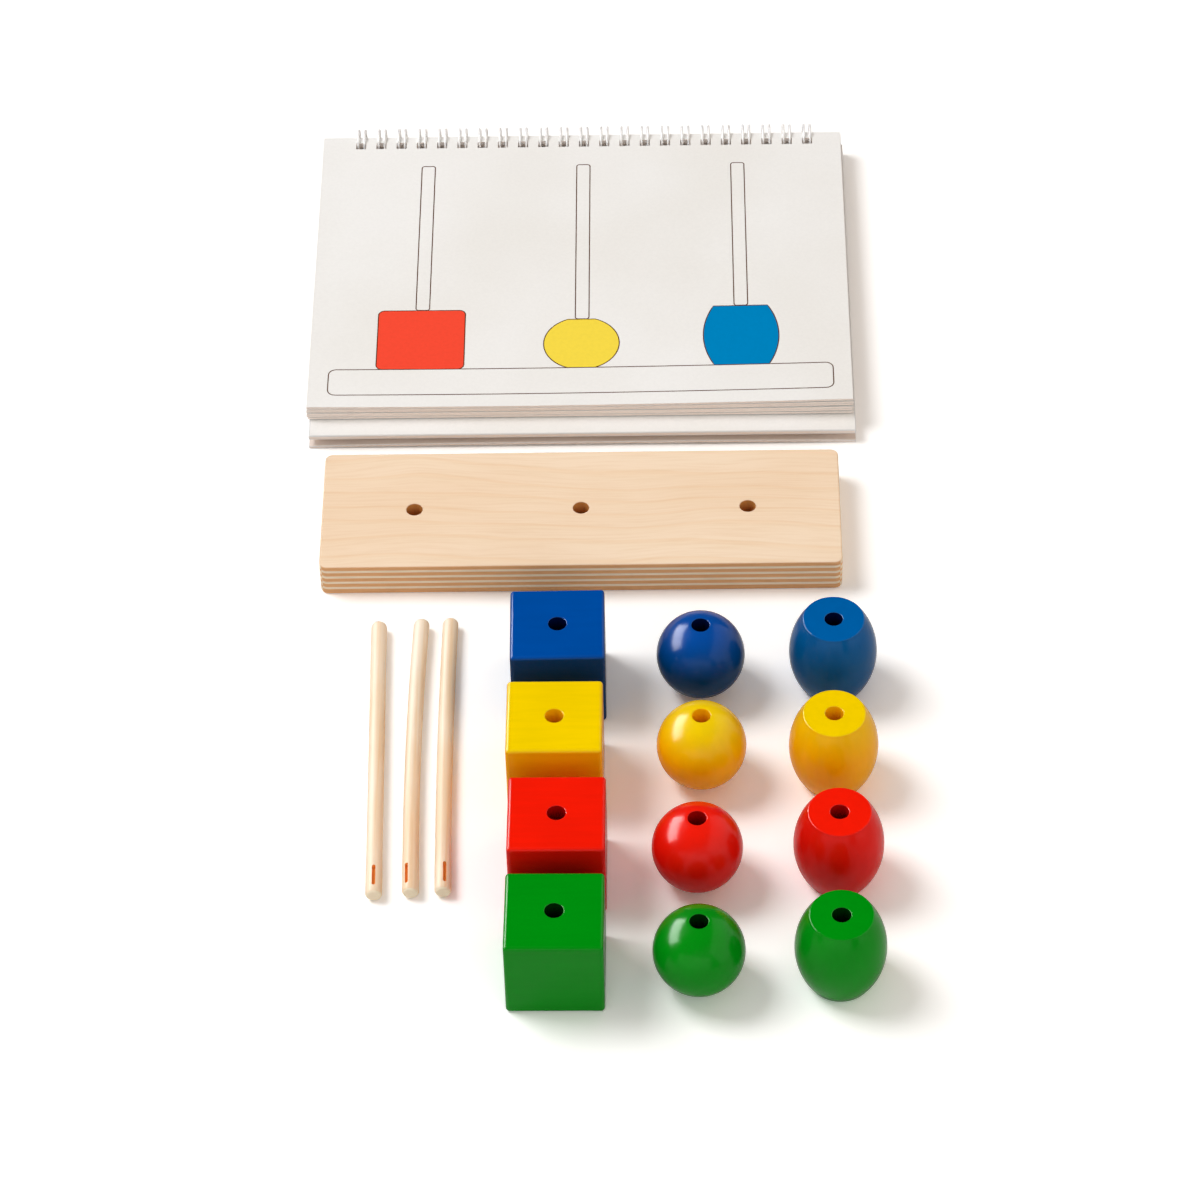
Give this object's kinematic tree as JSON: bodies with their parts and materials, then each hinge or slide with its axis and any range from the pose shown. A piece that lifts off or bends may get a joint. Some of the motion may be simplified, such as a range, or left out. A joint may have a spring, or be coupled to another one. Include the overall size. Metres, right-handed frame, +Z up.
{
  "type": "tower building game",
  "caption": "Stacking game: plywood base board with peg holes, loose dowel pegs, bored painted cubes, balls and barrels, and a wire-bound easel booklet of patterns to copy.",
  "frame": {"origin": "middle of the base board's underside, on the table", "axes": "+X along the board's length, +Y from the beads towards the booklet, +Z up"},
  "size_m": [0.22, 0.4682, 0.0352],
  "materials": {
    "birch_plywood": "sanded, clear matt",
    "dowel_wood": "sanded, bare",
    "paint_blue": "gloss painted",
    "paint_yellow": "gloss painted",
    "paint_red": "gloss painted",
    "paint_green": "gloss painted",
    "leaf_card": "matt printed card",
    "easel_card": "matt white lined board",
    "coated_wire": "white nylon coat"
  },
  "bodies": {
    "base_board": {"base_board": "birch_plywood"},
    "peg_left": {"peg_left": "dowel_wood"},
    "peg_middle": {"peg_middle": "dowel_wood"},
    "peg_right": {"peg_right": "dowel_wood"},
    "cube_blue": {"cube_blue": "paint_blue"},
    "cube_yellow": {"cube_yellow": "paint_yellow"},
    "cube_red": {"cube_red": "paint_red"},
    "cube_green": {"cube_green": "paint_green"},
    "ball_blue": {"ball_blue": "paint_blue"},
    "ball_yellow": {"ball_yellow": "paint_yellow"},
    "ball_red": {"ball_red": "paint_red"},
    "ball_green": {"ball_green": "paint_green"},
    "barrel_blue": {"barrel_blue": "paint_blue"},
    "barrel_yellow": {"barrel_yellow": "paint_yellow"},
    "barrel_red": {"barrel_red": "paint_red"},
    "barrel_green": {"barrel_green": "paint_green"},
    "booklet": {"binding_wire": "coated_wire", "easel_back_board": "easel_card"},
    "easel_front": {"easel_front_board": "easel_card"},
    "leaf_6": {"leaf_6": "leaf_card"},
    "leaf_5": {"leaf_5": "leaf_card"},
    "leaf_4": {"leaf_4": "leaf_card"},
    "leaf_3": {"leaf_3": "leaf_card"},
    "leaf_2": {"leaf_2": "leaf_card"},
    "leaf_1": {"leaf_1": "leaf_card"}
  },
  "joints": [
    {"name": "cube_blue_lift", "type": "slide", "parent": "base_board", "child": "cube_blue", "axis": [0, 0, 1], "range_m": [0, 0.15]},
    {"name": "cube_yellow_lift", "type": "slide", "parent": "base_board", "child": "cube_yellow", "axis": [0, 0, 1], "range_m": [0, 0.15]},
    {"name": "cube_red_lift", "type": "slide", "parent": "base_board", "child": "cube_red", "axis": [0, 0, 1], "range_m": [0, 0.15]},
    {"name": "cube_green_lift", "type": "slide", "parent": "base_board", "child": "cube_green", "axis": [0, 0, 1], "range_m": [0, 0.15]},
    {"name": "ball_blue_lift", "type": "slide", "parent": "base_board", "child": "ball_blue", "axis": [0, 0, 1], "range_m": [0, 0.15]},
    {"name": "ball_yellow_lift", "type": "slide", "parent": "base_board", "child": "ball_yellow", "axis": [0, 0, 1], "range_m": [0, 0.15]},
    {"name": "ball_red_lift", "type": "slide", "parent": "base_board", "child": "ball_red", "axis": [0, 0, 1], "range_m": [0, 0.15]},
    {"name": "ball_green_lift", "type": "slide", "parent": "base_board", "child": "ball_green", "axis": [0, 0, 1], "range_m": [0, 0.15]},
    {"name": "barrel_blue_lift", "type": "slide", "parent": "base_board", "child": "barrel_blue", "axis": [0, 0, 1], "range_m": [0, 0.15]},
    {"name": "barrel_yellow_lift", "type": "slide", "parent": "base_board", "child": "barrel_yellow", "axis": [0, 0, 1], "range_m": [0, 0.15]},
    {"name": "barrel_red_lift", "type": "slide", "parent": "base_board", "child": "barrel_red", "axis": [0, 0, 1], "range_m": [0, 0.15]},
    {"name": "barrel_green_lift", "type": "slide", "parent": "base_board", "child": "barrel_green", "axis": [0, 0, 1], "range_m": [0, 0.15]},
    {"name": "peg_left_lift", "type": "slide", "parent": "base_board", "child": "peg_left", "axis": [0, 0, 1], "range_m": [0, 0.15]},
    {"name": "peg_middle_lift", "type": "slide", "parent": "base_board", "child": "peg_middle", "axis": [0, 0, 1], "range_m": [0, 0.15]},
    {"name": "peg_right_lift", "type": "slide", "parent": "base_board", "child": "peg_right", "axis": [0, 0, 1], "range_m": [0, 0.15]},
    {"name": "booklet_lift", "type": "slide", "parent": "base_board", "child": "booklet", "axis": [0, 0, 1], "range_m": [0, 0.1]},
    {"name": "easel_open", "type": "hinge", "parent": "booklet", "child": "easel_front", "pos_m": [-0.0001, 0.22195, 0.00723], "axis": [-1, 0, 0], "range_deg": [0, 180]},
    {"name": "leaf_6_turn", "type": "hinge", "parent": "easel_front", "child": "leaf_6", "pos_m": [-0.0001, 0.22195, 0.00723], "axis": [-1, 0, 0], "range_deg": [0, 180]},
    {"name": "leaf_5_turn", "type": "hinge", "parent": "leaf_6", "child": "leaf_5", "pos_m": [-0.0001, 0.22195, 0.00723], "axis": [-1, 0, 0], "range_deg": [0, 180]},
    {"name": "leaf_4_turn", "type": "hinge", "parent": "leaf_5", "child": "leaf_4", "pos_m": [-0.0001, 0.22195, 0.00723], "axis": [-1, 0, 0], "range_deg": [0, 180]},
    {"name": "leaf_3_turn", "type": "hinge", "parent": "leaf_4", "child": "leaf_3", "pos_m": [-0.0001, 0.22195, 0.00723], "axis": [-1, 0, 0], "range_deg": [0, 180]},
    {"name": "leaf_2_turn", "type": "hinge", "parent": "leaf_3", "child": "leaf_2", "pos_m": [-0.0001, 0.22195, 0.00723], "axis": [-1, 0, 0], "range_deg": [0, 180]},
    {"name": "leaf_1_turn", "type": "hinge", "parent": "leaf_2", "child": "leaf_1", "pos_m": [-0.0001, 0.22195, 0.00723], "axis": [-1, 0, 0], "range_deg": [0, 180]}
  ]
}
